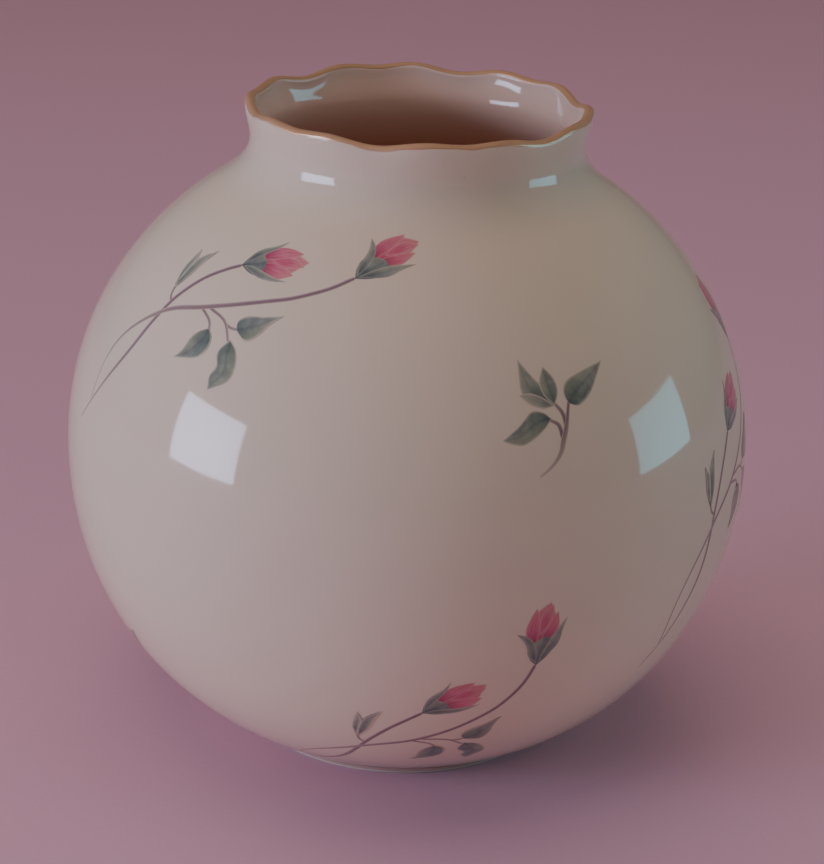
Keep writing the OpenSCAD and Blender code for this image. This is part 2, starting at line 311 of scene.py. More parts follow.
def ivory_glaze():
    # Feldspathic glaze fired on ivory porcelain: wet-looking, with clear reflections.
    material, tree, shader = new_material("feldspathic_ivory_glaze", IOR=1.52, Roughness=0.06)
    place_on_vase = add(tree, "TexCoord", {}).outputs["Object"]
    # Iron specks about a quarter of a millimetre wide, one in every square centimetre or so.
    cells = add(tree, "TexVoronoi", {"Vector": place_on_vase, "Scale": 1 / (5 * MM), "Randomness": 1.0})
    pick = add(tree, "SeparateColor", {0: cells.outputs["Color"]}).outputs[0]
    few = add(tree, "Math", {0: pick, 1: 0.82}, operation="GREATER_THAN").outputs[0]
    dot = add(tree, "MapRange", {"Value": cells.outputs["Distance"], 1: 0.03, 2: 0.012, 3: 0.0, 4: 0.5})
    speck = add(tree, "Math", {0: dot.outputs[0], 1: few}, operation="MULTIPLY").outputs[0]
    colour = add(tree, "Mix", {0: speck, 6: glaze_tone_and_painted_light(tree), 7: linear("8F7358")}, data_type="RGBA")
    cloud = add(tree, "TexNoise", {"Vector": place_on_vase, "Scale": 1 / (14 * MM), "Detail": 3.0})
    gloss = add(tree, "MapRange", {"Value": cloud.outputs["Fac"], 1: 0.3, 2: 0.7, 3: 0.045, 4: 0.085})
    tree.links.new(colour.outputs[2], shader.inputs["Base Color"])
    tree.links.new(gloss.outputs[0], shader.inputs["Roughness"])
    tree.links.new(glaze_relief(tree), shader.inputs["Normal"])
    return material


def biscuit_porcelain():
    # Unglazed porcelain wiped clean before firing: chalky, with a grey ring where it has stood.
    material, tree, shader = new_material("biscuit_porcelain", IOR=1.5, Roughness=0.7)
    place_on_vase = add(tree, "TexCoord", {}).outputs["Object"]
    grain = add(tree, "TexNoise", {"Vector": place_on_vase, "Scale": 1 / (0.5 * MM), "Detail": 4.0})
    rubbed = add(tree, "TexNoise", {"Vector": place_on_vase, "Scale": 1 / (4 * MM), "Detail": 3.0})
    height = add(tree, "SeparateXYZ", {0: place_on_vase}).outputs["Z"]
    low = add(tree, "MapRange", {"Value": height, 1: 0.5 * MM, 2: 0.0, 3: 0.0, 4: 1.0}).outputs[0]
    worn = add(tree, "Math", {0: low, 1: rubbed.outputs["Fac"]}, operation="MULTIPLY").outputs[0]
    colour = add(tree, "Mix", {0: worn, 6: linear("DCCBBE"), 7: linear("A3968A")}, data_type="RGBA")
    relief = add(tree, "Bump", {"Height": grain.outputs["Fac"], "Strength": 0.8, "Distance": 0.05 * MM})
    tree.links.new(colour.outputs[2], shader.inputs["Base Color"])
    tree.links.new(relief.outputs[0], shader.inputs["Normal"])
    return material


def gold_lustre():
    # Liquid bright gold brushed on the glaze and fired: a tan metal film, thin at its brushed edges.
    material, tree, shader = new_material("fired_gold_lustre", Metallic=0.5, Roughness=0.4)
    place_on_vase = add(tree, "TexCoord", {}).outputs["Object"]
    across = add(tree, "Attribute", {}, attribute_name="across").outputs["Fac"]
    patches = add(tree, "TexNoise", {"Vector": place_on_vase, "Scale": 1 / (3 * MM), "Detail": 4.0})
    tan = add(tree, "Mix", {0: patches.outputs["Fac"], 6: linear("FFCFA4"), 7: linear("EEB78A")},
              data_type="RGBA")
    middle = add(tree, "MapRange", {"Value": across, 1: 0.0, 2: 0.12, 3: 0.55, 4: 0.0}).outputs[0]
    colour = add(tree, "Mix", {0: middle, 6: tan.outputs[2], 7: linear("D6A47C")}, data_type="RGBA")
    brush = add(tree, "TexNoise", {"Vector": place_on_vase, "Scale": 1 / (0.8 * MM), "Detail": 3.0})
    gloss = add(tree, "MapRange", {"Value": brush.outputs["Fac"], 1: 0.3, 2: 0.7, 3: 0.28, 4: 0.46})
    relief = add(tree, "Bump", {"Height": brush.outputs["Fac"], "Strength": 0.6, "Distance": 0.02 * MM})
    tree.links.new(colour.outputs[2], shader.inputs["Base Color"])
    tree.links.new(gloss.outputs[0], shader.inputs["Roughness"])
    tree.links.new(relief.outputs[0], shader.inputs["Normal"])
    return material


def laid_on_glaze(tree, shader, ink):
    """Finishes an overglaze enamel: its ink thins towards the ivory under it at the print's edge and
    where the wash is weak, and it melts into the glaze's own surface with slightly less gloss."""
    place_on_vase = add(tree, "TexCoord", {}).outputs["Object"]
    shore = add(tree, "Attribute", {}, attribute_name="shore").outputs["Fac"]
    wash = add(tree, "Attribute", {}, attribute_name="wash").outputs["Fac"]
    edge = add(tree, "Attribute", {}, attribute_name="edge").outputs["Fac"]
    rag = add(tree, "TexNoise", {"Vector": place_on_vase, "Scale": 1 / (0.7 * MM), "Detail": 3.0})
    ragged = add(tree, "Math", {0: rag.outputs["Fac"], 1: 0.3, 2: shore}, operation="MULTIPLY_ADD").outputs[0]
    body = add(tree, "MapRange", {"Value": ragged, 1: 0.1, 2: 1.0, 3: edge, 4: 1.0}).outputs[0]
    full = add(tree, "Math", {0: body, 1: wash}, operation="MULTIPLY").outputs[0]
    colour = add(tree, "Mix", {0: full, 6: glaze_tone_and_painted_light(tree), 7: ink}, data_type="RGBA")
    gloss = add(tree, "MapRange", {"Value": full, 1: 0.0, 2: 1.0, 3: 0.065, 4: 0.12})
    tree.links.new(colour.outputs[2], shader.inputs["Base Color"])
    tree.links.new(gloss.outputs[0], shader.inputs["Roughness"])
    tree.links.new(glaze_relief(tree), shader.inputs["Normal"])


def stem_enamel():
    # Mauve-brown overglaze enamel, drawn in one stroke: darker along one side, and in blots.
    material, tree, shader = new_material("mauve_stem_enamel", IOR=1.52)
    place_on_vase = add(tree, "TexCoord", {}).outputs["Object"]
    side = add(tree, "Attribute", {}, attribute_name="side").outputs["Fac"]
    blots = add(tree, "TexNoise", {"Vector": place_on_vase, "Scale": 1 / (2.5 * MM), "Detail": 3.0})
    lit = add(tree, "MapRange", {"Value": side, 1: -0.6, 2: 0.8, 3: 0.0, 4: 0.6}).outputs[0]
    mauve = add(tree, "Mix", {0: blots.outputs["Fac"], 6: linear("74545F"), 7: linear("8B6B76")},
                data_type="RGBA").outputs[2]
    ink = add(tree, "Mix", {0: lit, 6: mauve, 7: linear("A88E92")}, data_type="RGBA").outputs[2]
    laid_on_glaze(tree, shader, ink)
    return material


def leaf_enamel():
    # Grey-green overglaze enamel washed like watercolour: dark by the rib, olive on the lit half.
    material, tree, shader = new_material("grey_green_leaf_enamel", IOR=1.52)
    place_on_vase = add(tree, "TexCoord", {}).outputs["Object"]
    side = add(tree, "Attribute", {}, attribute_name="side").outputs["Fac"]
    run = add(tree, "Attribute", {}, attribute_name="run").outputs["Fac"]
    clouds = add(tree, "TexNoise", {"Vector": place_on_vase, "Scale": 1 / (2.4 * MM), "Detail": 3.0})
    cloud = add(tree, "MapRange", {"Value": clouds.outputs["Fac"], 1: 0.35, 2: 0.65, 3: 0.0, 4: 1.0})
    tone = add(tree, "Attribute", {}, attribute_name="tone").outputs["Fac"]
    slate = add(tree, "Mix", {0: tone, 6: linear("5E6A6B"), 7: linear("6B7B70")}, data_type="RGBA").outputs[2]
    sage = add(tree, "Mix", {0: tone, 6: linear("808D85"), 7: linear("95A188")}, data_type="RGBA").outputs[2]
    green = add(tree, "Mix", {0: cloud.outputs[0], 6: slate, 7: sage}, data_type="RGBA").outputs[2]
    lit = add(tree, "MapRange", {"Value": side, 1: 0.0, 2: 0.7, 3: 0.0, 4: 0.5}).outputs[0]
    olive = add(tree, "Mix", {0: lit, 6: green, 7: linear("A3A988")}, data_type="RGBA").outputs[2]
    base = add(tree, "MapRange", {"Value": run, 1: 0.45, 2: 0.05, 3: 0.0, 4: 0.5}).outputs[0]
    deep = add(tree, "Mix", {0: base, 6: olive, 7: linear("566460")}, data_type="RGBA").outputs[2]
    off_rib = add(tree, "Math", {0: side}, operation="ABSOLUTE").outputs[0]
    rib = add(tree, "MapRange", {"Value": off_rib, 1: 0.2, 2: 0.03, 3: 0.0, 4: 0.35}).outputs[0]
    ink = add(tree, "Mix", {0: rib, 6: deep, 7: linear("4F5B56")}, data_type="RGBA").outputs[2]
    laid_on_glaze(tree, shader, ink)
    return material


def bud_enamel():
    # Rose-pink overglaze enamel: crimson where it leaves the calyx, pale and salmon by the tip,
    # laid in strokes that run along each petal.
    material, tree, shader = new_material("rose_bud_enamel", IOR=1.52)
    side = add(tree, "Attribute", {}, attribute_name="side").outputs["Fac"]
    run = add(tree, "Attribute", {}, attribute_name="run").outputs["Fac"]
    tone = add(tree, "Attribute", {}, attribute_name="tone").outputs["Fac"]
    strokes_at = add(tree, "CombineXYZ", {0: run, 1: side, 2: tone}).outputs[0]
    fanned = add(tree, "Mapping", {"Vector": strokes_at, "Scale": (1.6, 5.0, 9.0)}).outputs[0]
    strokes = add(tree, "TexNoise", {"Vector": fanned, "Scale": 1.6, "Detail": 3.0})
    streak = add(tree, "MapRange", {"Value": strokes.outputs["Fac"], 1: 0.35, 2: 0.65, 3: 0.0, 4: 1.0})
    rose = add(tree, "Mix", {0: streak.outputs[0], 6: linear("CF4E70"), 7: linear("DE8096")},
               data_type="RGBA").outputs[2]
    tip = add(tree, "MapRange", {"Value": run, 1: 0.5, 2: 1.0, 3: 0.0, 4: 0.6}).outputs[0]
    salmon = add(tree, "Mix", {0: tip, 6: rose, 7: linear("E28480")}, data_type="RGBA").outputs[2]
    near = add(tree, "MapRange", {"Value": run, 1: 0.5, 2: 0.12, 3: 0.0, 4: 1.0}).outputs[0]
    heart = add(tree, "Math", {0: near, 1: tone}, operation="MULTIPLY").outputs[0]
    ink = add(tree, "Mix", {0: heart, 6: salmon, 7: linear("A82C54")}, data_type="RGBA").outputs[2]
    laid_on_glaze(tree, shader, ink)
    return material


# ---------------------------------------------------------------- the vase
def bead(line_end, steps=4):
    """The rolled edge where the glaze stops on the foot ring."""
    r, z = line_end
    a = np.linspace(0, math.pi / 2, steps + 1)
    return np.column_stack([r - GLAZE_T * (1 - np.cos(a)), z + GLAZE_T - GLAZE_T * np.sin(a)])


def glaze_section():
    """The glaze's visible skin, floor to lip to foot, and then its hidden side back to the floor."""
    lip = lip_line(10, 18)[::-1]
    outer = globe_line(64, 56, 20)[::-1]
    keep = outer[:, 0] > FOOT_R + 2.4
    keep[:40] = True
    wall = outer[keep]
    fillet = bend(wall[-1], (FOOT_R + 0.15, FOOT_H - 0.3), (FOOT_R, 1.35), 7)
    foot = bead((FOOT_R, BARE_H))
    hidden = np.vstack([[FOOT_R - GLAZE_T, 1.4], moved(globe_line(15, 12, 5), -GLAZE_T)[:-1],
                        lip_line(3, 6, GLAZE_T), hollow_line(16, 5, GLAZE_T)[::-1][1:]])
    return np.vstack([hollow_line(52, 20, 0.0), lip[1:], wall[1:], fillet, foot, hidden])


def underside_section():
    """The glaze in the recess under the floor, with a soft meniscus against the ring."""
    level = np.column_stack([np.linspace(0, FOOT_IN - 1.2, 8), np.full(8, FOOT_H)])
    curl = bend(level[-1], (FOOT_IN, FOOT_H), (FOOT_IN, FOOT_H - 1.1), 6)
    edge = [[FOOT_IN, 1.05], [FOOT_IN + 0.08, 0.9], [FOOT_IN + 0.22, BARE_H], [FOOT_IN + GLAZE_T, 0.95],
            [FOOT_IN + GLAZE_T, FOOT_H + GLAZE_T], [0, FOOT_H + GLAZE_T]]
    return np.vstack([level, curl, edge])


def laid_gilding():
    """The gold, spun flat as a washer and laid over the lip, between edges that waver as a hand-held
    brush does."""
    across, far, side_steps, turns = 18, 100.0, 12, 480
    skin = lip_line(side_steps, 24)
    steps = np.linalg.norm(np.diff(skin, axis=0), axis=1)
    arc = np.concatenate([[0], np.cumsum(steps)])
    begin = arc[side_steps] + GILT_FROM * LIP_ROUND
    end = arc[side_steps] + GILT_TO * LIP_ROUND
    strip = np.column_stack([far + np.linspace(0, 1, across + 1), np.zeros(across + 1)])
    back = np.array([[far + 1, -1], [far + 0.5, -1], [far, -1], [far, 0]])
    piece = turned("gilt_lip", np.vstack([strip, back]), turns)
    co = vertices(piece)
    az = np.arctan2(co[:, 1], co[:, 0])
    share = np.hypot(co[:, 0], co[:, 1]) / MM - far
    outer = 0.13 * np.sin(9 * az + 1) + 0.09 * np.sin(23 * az + 2.2) + 0.06 * np.sin(41 * az)
    inner = 0.12 * np.sin(7 * az + 0.4) + 0.09 * np.sin(19 * az + 5)
    s = mix(begin + outer, end + inner, share)
    normal = moved(skin, 1.0) - skin
    r = np.interp(s, arc, skin[:, 0])
    z = np.interp(s, arc, skin[:, 1])
    n = np.column_stack([np.interp(s, arc, normal[:, 0]), np.interp(s, arc, normal[:, 1])])
    # A film: proud of the glaze in the middle, down into it along both edges.
    crown = np.clip(np.minimum(share, 1 - share) / 0.06, 0, 1)
    up = np.where(co[:, 2] < -0.5 * MM, -0.12, mix(0.004, GILT_T, ease(crown)))
    r, z = r + n[:, 0] * up, z + n[:, 1] * up
    place(piece, ruffled(np.column_stack([r * np.cos(az), r * np.sin(az), z]) * MM))
    attribute = piece.data.attributes.new("across", "FLOAT", "POINT")
    attribute.data.foreach_set("value", np.minimum(share, 1 - share).astype(np.float32))
    close(piece)
    return piece


GLAZE_STEPS, UNDERSIDE_STEPS = 288, 160
GLAZE_CREASE = 60  # degrees
GLAZE = ivory_glaze()
glaze = turned("ivory_glaze", glaze_section(), GLAZE_STEPS)
place(glaze, ruffled(vertices(glaze)))
shade(glaze, GLAZE_CREASE)
finished(glaze, GLAZE, "glaze", "glaze_coat")

underside = turned("underside_glaze", underside_section(), UNDERSIDE_STEPS)
shade(underside, GLAZE_CREASE)
finished(underside, GLAZE, "glaze", "base_glaze")

gilding = laid_gilding()
shade(gilding, GLAZE_CREASE)
finished(gilding, gold_lustre(), "gilding", "gilt_lip_band")

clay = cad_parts["porcelain_body"]
for holder in clay.material_slots:
    holder.material = biscuit_porcelain()


# ---------------------------------------------------------------- transfers, flat as on their paper
def through(points, steps):
    """A smooth line through given points, in steps of equal length."""
    p = np.array(points, float)
    p = np.vstack([2 * p[0] - p[1], p, 2 * p[-1] - p[-2]])
    t = np.linspace(0, 1, 9)[:-1, None]
    parts = []
    for a, b, c, d in zip(p, p[1:], p[2:], p[3:]):
        parts.append(b + (c - a) * t / 2 + (2 * a - 5 * b + 4 * c - d) * t**2 / 2
                     + (3 * b - a - 3 * c + d) * t**3 / 2)
    line = np.vstack(parts + [p[-2:-1]])
    arc = np.concatenate([[0], np.cumsum(np.linalg.norm(np.diff(line, axis=0), axis=1))])
    even = np.linspace(0, arc[-1], steps + 1)
    return np.column_stack([np.interp(even, arc, line[:, 0]), np.interp(even, arc, line[:, 1])])


def turned_to(points, at, turn):
    t = math.radians(turn)
    return np.array(points, float) @ [[math.cos(t), math.sin(t)], [-math.sin(t), math.cos(t)]] + at


SOFT_EDGE = 0.5  # mm over which the ink fades at a shape's edge
STROKE_EDGE = 0.06  # mm of soft edge added to each side of a stroke


def patch(left, right, tone=0.5, wash=(1.0, 1.0), lift=0.0, edge=0.3, along=26, across=8):
    """A printed shape between two sides that meet at its base and its tip. wash is how strong the
    ink is at the base and at the tip, tone picks the shade, lift is its layer's height in mm and edge
    is how strong the ink still is at the very edge."""
    deselect_all()
    bpy.ops.mesh.primitive_grid_add(x_subdivisions=along, y_subdivisions=across, size=1)
    piece = bpy.context.object
    co = vertices(piece)
    run, share = co[:, 0] + 0.5, co[:, 1] + 0.5
    a, b = through(left, along), through(right, along)
    i = np.rint(run * along).astype(int)
    flat = mix(b[i], a[i], share[:, None])
    width = np.linalg.norm(a - b, axis=1)[i]
    length = np.linalg.norm(a[-1] - a[0])
    shore = np.minimum(width * np.minimum(share, 1 - share), length * np.minimum(run, 1 - run))
    place(piece, np.column_stack([flat, np.full(len(flat), lift)]))
    soft = min(SOFT_EDGE, 0.3 * width.max())
    values = {"run": run, "side": 2 * share - 1, "shore": np.minimum(shore / soft, 1),
              "tone": np.full(len(run), tone), "wash": mix(wash[0], wash[1], ease(run)),
              "edge": np.full(len(run), edge)}
    for name, value in values.items():
        piece.data.attributes.new(name, "FLOAT", "POINT").data.foreach_set("value", value.astype(np.float32))
    return piece


def stroke(points, w0, w1, w2, wash=(1.0, 1.0), lift=0.0, edge=0.45):
    """A stroke of changing width along a line, rounded off at both ends."""
    count = max(12, 7 * len(points))
    line = through(points, count)
    along = np.gradient(line, axis=0)
    along /= np.linalg.norm(along, axis=1)[:, None]
    t = np.linspace(0, 1, count + 1)
    half = np.where(t < 0.5, mix(w0, w1, ease(2 * t)), mix(w1, w2, 2 * t - 1)) / 2 + STROKE_EDGE
    half[0] = half[-1] = 0.05
    out = np.column_stack([-along[:, 1], along[:, 0]]) * half[:, None]
    return patch(line + out, line - out, 0.5, wash, lift, edge, along=count, across=4)


def printed(name, pieces):
    """Joins the shapes of one ink of a transfer into one flat sheet."""
    deselect_all()
    for piece in pieces:
        piece.select_set(True)
    bpy.context.view_layer.objects.active = pieces[0]
    bpy.ops.object.join()
    pieces[0].name = name
    return pieces[0]


STEM_W, STALK_W, TAIL_W = 1.0, 0.55, 0.3
SHORT_BUD, SHORT_TURN = (-1, 9.7), 18
LONG_BUD, LONG_TURN = (23.8, 15.6), 65


def on_bud(shapes, at, turn):
    """Patches drawn from a bud's own base, set on the spray at its place and turn."""
    return [patch(turned_to(a, at, turn), turned_to(b, at, turn), *rest) for a, b, *rest in shapes]


def spray_stems():
    short = [(-40, -30.5), (-31.5, -23.5), (-23, -14.6), (-17.6, -6), (-14.4, -1), (-9.6, 4.1),
             (-5, 7.4), SHORT_BUD]
    long = [(-35, -26), (-31.6, -16.5), (-26, -10), (-15.5, -4.1), (-5.5, -1.6), (2.6, 1), (10, 4.1),
            (14.6, 6.5), (20, 10.8), LONG_BUD]
    return printed("spray_stems_sheet", [
        stroke(short, TAIL_W, STEM_W, 0.8 * STEM_W, (0.75, 1.0), 0.02),
        stroke(long, TAIL_W, STEM_W, 0.8 * STEM_W, (0.7, 1.0), 0.03),
        stroke([(-5.6, -1.6), (-2, -3.9), (-0.8, -6.4)], STALK_W, STALK_W, STALK_W, (0.9, 0.7), 0.01),
        stroke([(-3.6, -1.2), (1.8, -3.1), (4.9, -7)], STALK_W, STALK_W, STALK_W, (0.9, 0.7), 0.015),
        stroke([(2.4, -3.6), (4.2, -4), (6.2, -3.8)], STALK_W, STALK_W, STALK_W, (0.8, 0.7), 0.01),
        stroke([(-15, -2.4), (-16.2, -0.6), (-16.3, 1.6)], STALK_W, STALK_W, STALK_W, (0.9, 0.8), 0.01)])


def spray_leaves():
    leaves = [
        patch([(-1.2, -5.4), (-3.5, -6.7), (-4.9, -8.4), (-5.7, -10.9), (-7.4, -13.1)],
              [(-1.2, -5.4), (0.4, -7.1), (0.5, -9.7), (-1.6, -12), (-7.4, -13.1)], 0.4, (1, 0.85), 0.05),
        patch([(5.1, -6.3), (7.6, -8.2), (8.9, -11.4), (8.2, -14.6), (4.1, -17.4)],
              [(5.1, -6.3), (3.3, -9.4), (4.3, -12.2), (3.5, -14.5), (4.1, -17.4)], 0.6, (1, 0.85), 0.05),
        patch([(5.5, -4.1), (8.7, -5.6), (10.9, -3.6), (12.2, -0.8), (14.1, 1.8)],
              [(5.5, -4.1), (5, -2.2), (6.6, -0.6), (10, 0.3), (14.1, 1.8)], 0.3, (1, 0.8), 0.05),
        patch([(-16.3, 0.9), (-13.6, 4.4), (-11.6, 8.2), (-9.7, 11.2)],
              [(-16.3, 0.9), (-15.6, 4.6), (-13.6, 8.8), (-9.7, 11.2)], 0.5, (1, 0.75), 0.05),
        patch([(-16.6, 1.6), (-15.2, 5.6), (-14.4, 8.2), (-14.9, 10.8)],
              [(-16.6, 1.6), (-16.8, 5.2), (-15.9, 8.4), (-14.9, 10.8)], 0.5, (1, 0.7), 0.055)]
    # Each bud has a cup, an upper sepal and a lower sepal.
    short = [
        ([(-0.6, 0.1), (1.2, 2.2), (3.4, 2.7), (4.4, 1.7), (5.2, 0.4)],
         [(-0.6, -0.1), (1.4, -1.9), (3.6, -2.8), (4.9, -1.7), (5.2, 0.4)], 0, (1, 0.9), 0.09, 0.9),
        ([(-0.2, 0.1), (1.2, 2.3), (3.2, 3.7), (6.3, 4.4), (8.9, 5.5)],
         [(-0.2, 0.1), (2.2, 1.3), (4.3, 2.4), (6.6, 3.5), (8.9, 5.5)], 0.2, (1, 0.8), 0.095, 0.7),
        ([(-0.2, -0.1), (2.6, -0.7), (5.5, -2.2), (8.1, -3.5), (10.7, -4.4)],
         [(-0.2, -0.1), (1.8, -1.8), (4.3, -3.4), (7.2, -4.3), (10.7, -4.4)], 0.2, (1, 0.7), 0.1, 0.7)]
    long = [
        ([(-0.6, 0.1), (1.2, 2), (3.6, 2.6), (5.6, 1.8), (6.8, 0)],
         [(-0.6, -0.1), (1.6, -1.9), (4, -2.9), (6.4, -2.2), (6.8, 0)], 0, (1, 0.9), 0.09, 0.9),
        ([(-0.2, 0.1), (1.9, 2.5), (3.8, 3.2), (5.6, 4.4), (7.6, 6.5)],
         [(-0.2, 0.1), (3, 0.8), (5.4, 2), (7, 3.9), (7.6, 6.5)], 0.2, (1, 0.8), 0.095, 0.7),
        ([(-0.2, -0.1), (3, -0.6), (6.4, -1.6), (8.4, -2.7), (11.2, -4.4)],
         [(-0.2, -0.1), (2.4, -2.3), (5, -3.8), (8, -4), (11.2, -4.4)], 0.2, (1, 0.75), 0.1, 0.7)]
    sepals = on_bud(short, SHORT_BUD, SHORT_TURN) + on_bud(long, LONG_BUD, LONG_TURN)
    return printed("spray_leaves_sheet", leaves + sepals)


def spray_buds():
    short = [
        ([(2.4, 0.4), (4.2, 3), (7, 4), (10.4, 3.1), (12.8, 1.6), (14.7, 0.3)],
         [(2.4, 0.1), (4.6, -2.4), (7.4, -3.5), (10, -3.2), (12.6, -1.4), (14.7, 0.3)],
         0.3, (1, 0.85), 0.04, 0.4),
        ([(3.2, 1), (5.2, 3.4), (8, 4), (10.8, 3.4), (12.9, 2.4)],
         [(3.2, 0.8), (6.2, 1), (9.2, 0.9), (11.4, 1.5), (12.9, 2.4)], 0.8, (1, 0.9), 0.05, 0.72),
        ([(3.2, 0), (6, 0.3), (8.8, -0.3), (10.6, -1.6), (11.9, -2.9)],
         [(3.2, -0.5), (5.5, -2.8), (8, -3.8), (10.2, -3.5), (11.9, -2.9)], 1.0, (1, 0.85), 0.055, 0.72),
        ([(6.4, 0.9), (9, 1.5), (11.6, 1.1), (13.9, -0.8)],
         [(6.4, 0.6), (8.8, -0.8), (11.4, -1.3), (13.9, -0.8)], 0.1, (1, 0.85), 0.06, 0.72)]
    long = [
        ([(3.4, 0.9), (5.8, 3.5), (8.6, 4.7), (11.4, 4.1), (13.6, 2.4), (15.2, 0.3)],
         [(3.4, 0.4), (5.8, -1.4), (8, -2.5), (10.4, -2.2), (12.9, -1), (15.2, 0.3)],
         0.3, (1, 0.85), 0.04, 0.4),
        ([(4.2, 1.6), (6.2, 3.7), (8.8, 4.7), (11.6, 4.2), (13.8, 3.4)],
         [(4.2, 1.2), (7, 1.6), (9.8, 1.7), (12, 2.4), (13.8, 3.4)], 0.9, (1, 0.9), 0.05, 0.72),
        ([(5, 0.6), (7.4, 0.5), (9.6, -0.2), (11.4, -0.9), (12.8, -1.9)],
         [(5, 0.2), (6.6, -1.8), (8.8, -2.8), (11, -2.5), (12.8, -1.9)], 1.0, (1, 0.9), 0.055, 0.72),
        ([(7.4, 1.2), (10, 1.9), (12.6, 1.7), (14.6, -0.4)],
         [(7.4, 0.9), (9.8, -0.3), (12.4, -0.9), (14.6, -0.4)], 0.1, (1, 0.85), 0.06, 0.72)]
    petals = on_bud(short, SHORT_BUD, SHORT_TURN) + on_bud(long, LONG_BUD, LONG_TURN)
    return printed("spray_buds_sheet", petals)


def sprig_stems():
    return printed("sprig_stems_sheet", [
        stroke([(2.4, 2.2), (1, -2.9), (0, -5.6), (-1, -8.2), (-3.2, -10.6), (-6, -12.4)],
               STALK_W, 1.1 * STEM_W, TAIL_W, (1.0, 0.5), 0.03),
        stroke([(-1.2, 2.2), (0.6, -0.5), (0.9, -3.4)],
               STALK_W, 0.8 * STEM_W, 0.8 * STEM_W, (0.8, 1.0), 0.02),
        stroke([(-2.6, -1.3), (-0.7, -2.6), (-0.1, -5.4)],
               STALK_W, 0.8 * STEM_W, 0.8 * STEM_W, (0.8, 1.0), 0.01)])


def sprig_leaves():
    return printed("sprig_leaves_sheet", [
        patch([(-0.9, 1.4), (-4, 1.2), (-6.4, 2.6), (-7.6, 5.2), (-7, 11.6)],
              [(-0.9, 1.4), (-2, 4.4), (-3.8, 6.6), (-5.2, 8.6), (-7, 11.6)], 0.3, (1, 0.7), 0.05),
        patch([(-0.9, 1.4), (-2.9, 3.6), (-3.4, 6.4), (-2, 9.4)],
              [(-0.9, 1.4), (0.3, 4.2), (-0.2, 7), (-2, 9.4)], 0.6, (1, 0.8), 0.06),
        patch([(-0.9, 1.3), (-3.4, 1), (-6, 2), (-8.2, 4.3)],
              [(-0.9, 1.3), (-3.2, 3.2), (-5.8, 4.4), (-8.2, 4.3)], 0.5, (0.9, 0.6), 0.055),
        patch([(2.2, 1.4), (1.5, 3.8), (2.6, 6), (6.4, 7.6), (11.9, 9.3)],
              [(2.2, 1.4), (4.6, 0.8), (7.4, 2.7), (9.4, 5.4), (11.9, 9.3)], 0.4, (1, 0.8), 0.05),
        patch([(-2, -1.2), (-4.8, -3.8), (-8.3, -5.6), (-10.8, -5.3), (-13, -4.2)],
              [(-2, -1.2), (-3.7, 0.3), (-6.2, 0.7), (-9.2, -1.8), (-13, -4.2)], 0.6, (1, 0.8), 0.05)])


# ---------------------------------------------------------------- transfers, wrapped on the globe
WRAP_R = 0.96 * GLOBE_R  # how tightly the paper curves as it is laid
FILM_T = 0.09
FILM_PROUD = 0.014
LAYER = 0.35  # share of a shape's flat lift that is left once it is on the glaze
HALVINGS = 40
OUTSIDE = globe_line(200, 200, 40)


def globe_radius(z):
    return np.interp(z, OUTSIDE[:, 1], OUTSIDE[:, 0])


def globe_normal(p):
    lean = (globe_radius(p[:, 2] + 0.3) - globe_radius(p[:, 2] - 0.3)) / 0.6
    r = np.hypot(p[:, 0], p[:, 1])
    normal = np.column_stack([p[:, 0] / r, p[:, 1] / r, -lean])
    return normal / np.linalg.norm(normal, axis=1)[:, None]


def wrapped(flat, azimuth, climb, turn):
    """Flat paper, in mm, laid on the globe: azimuth from the front towards +X, climb up the globe's
    curve from its widest line and the turn on the surface, all in degrees."""
    az, a, turn = math.radians(azimuth), math.radians(abs(climb)), math.radians(turn)
    power, rise = (2, CROWN_RISE) if climb >= 0 else (BOWL_FULLNESS, -BOWL_DROP)
    r = GLOBE_R * math.cos(a) ** (2 / power)
    z = EQUATOR_H + rise * math.sin(a) ** (2 / power)
    tilt = math.atan2(math.sin(a) ** (2 - 2 / power) / rise, math.cos(a) ** (2 - 2 / power) / GLOBE_R)
    far = np.linalg.norm(flat[:, :2], axis=1)
    scale = np.sinc(far / WRAP_R / math.pi)
    x, y = (flat[:, :2] * scale[:, None]).T
    x, y = x * math.cos(turn) - y * math.sin(turn), x * math.sin(turn) + y * math.cos(turn)
    out = np.array([0, -math.cos(tilt), math.sin(tilt)])
    up = np.array([0, math.sin(tilt), math.cos(tilt)])
    start = np.array([0, -r, z]) + np.outer(x, [1, 0, 0]) + np.outer(y, up)
    near, deep = np.full(len(flat), -6.0), np.full(len(flat), WRAP_R / 3)
    for _ in range(HALVINGS):
        half = (near + deep) / 2
        p = start - half[:, None] * out
        outside = np.hypot(p[:, 0], p[:, 1]) > globe_radius(p[:, 2])
        near, deep = np.where(outside, half, near), np.where(outside, deep, half)
    p = start - near[:, None] * out
    p = p + globe_normal(p) * (FILM_PROUD + LAYER * flat[:, 2:3])
    return np.column_stack([p[:, 0] * math.cos(az) - p[:, 1] * math.sin(az),
                            p[:, 0] * math.sin(az) + p[:, 1] * math.cos(az), p[:, 2]]) * MM


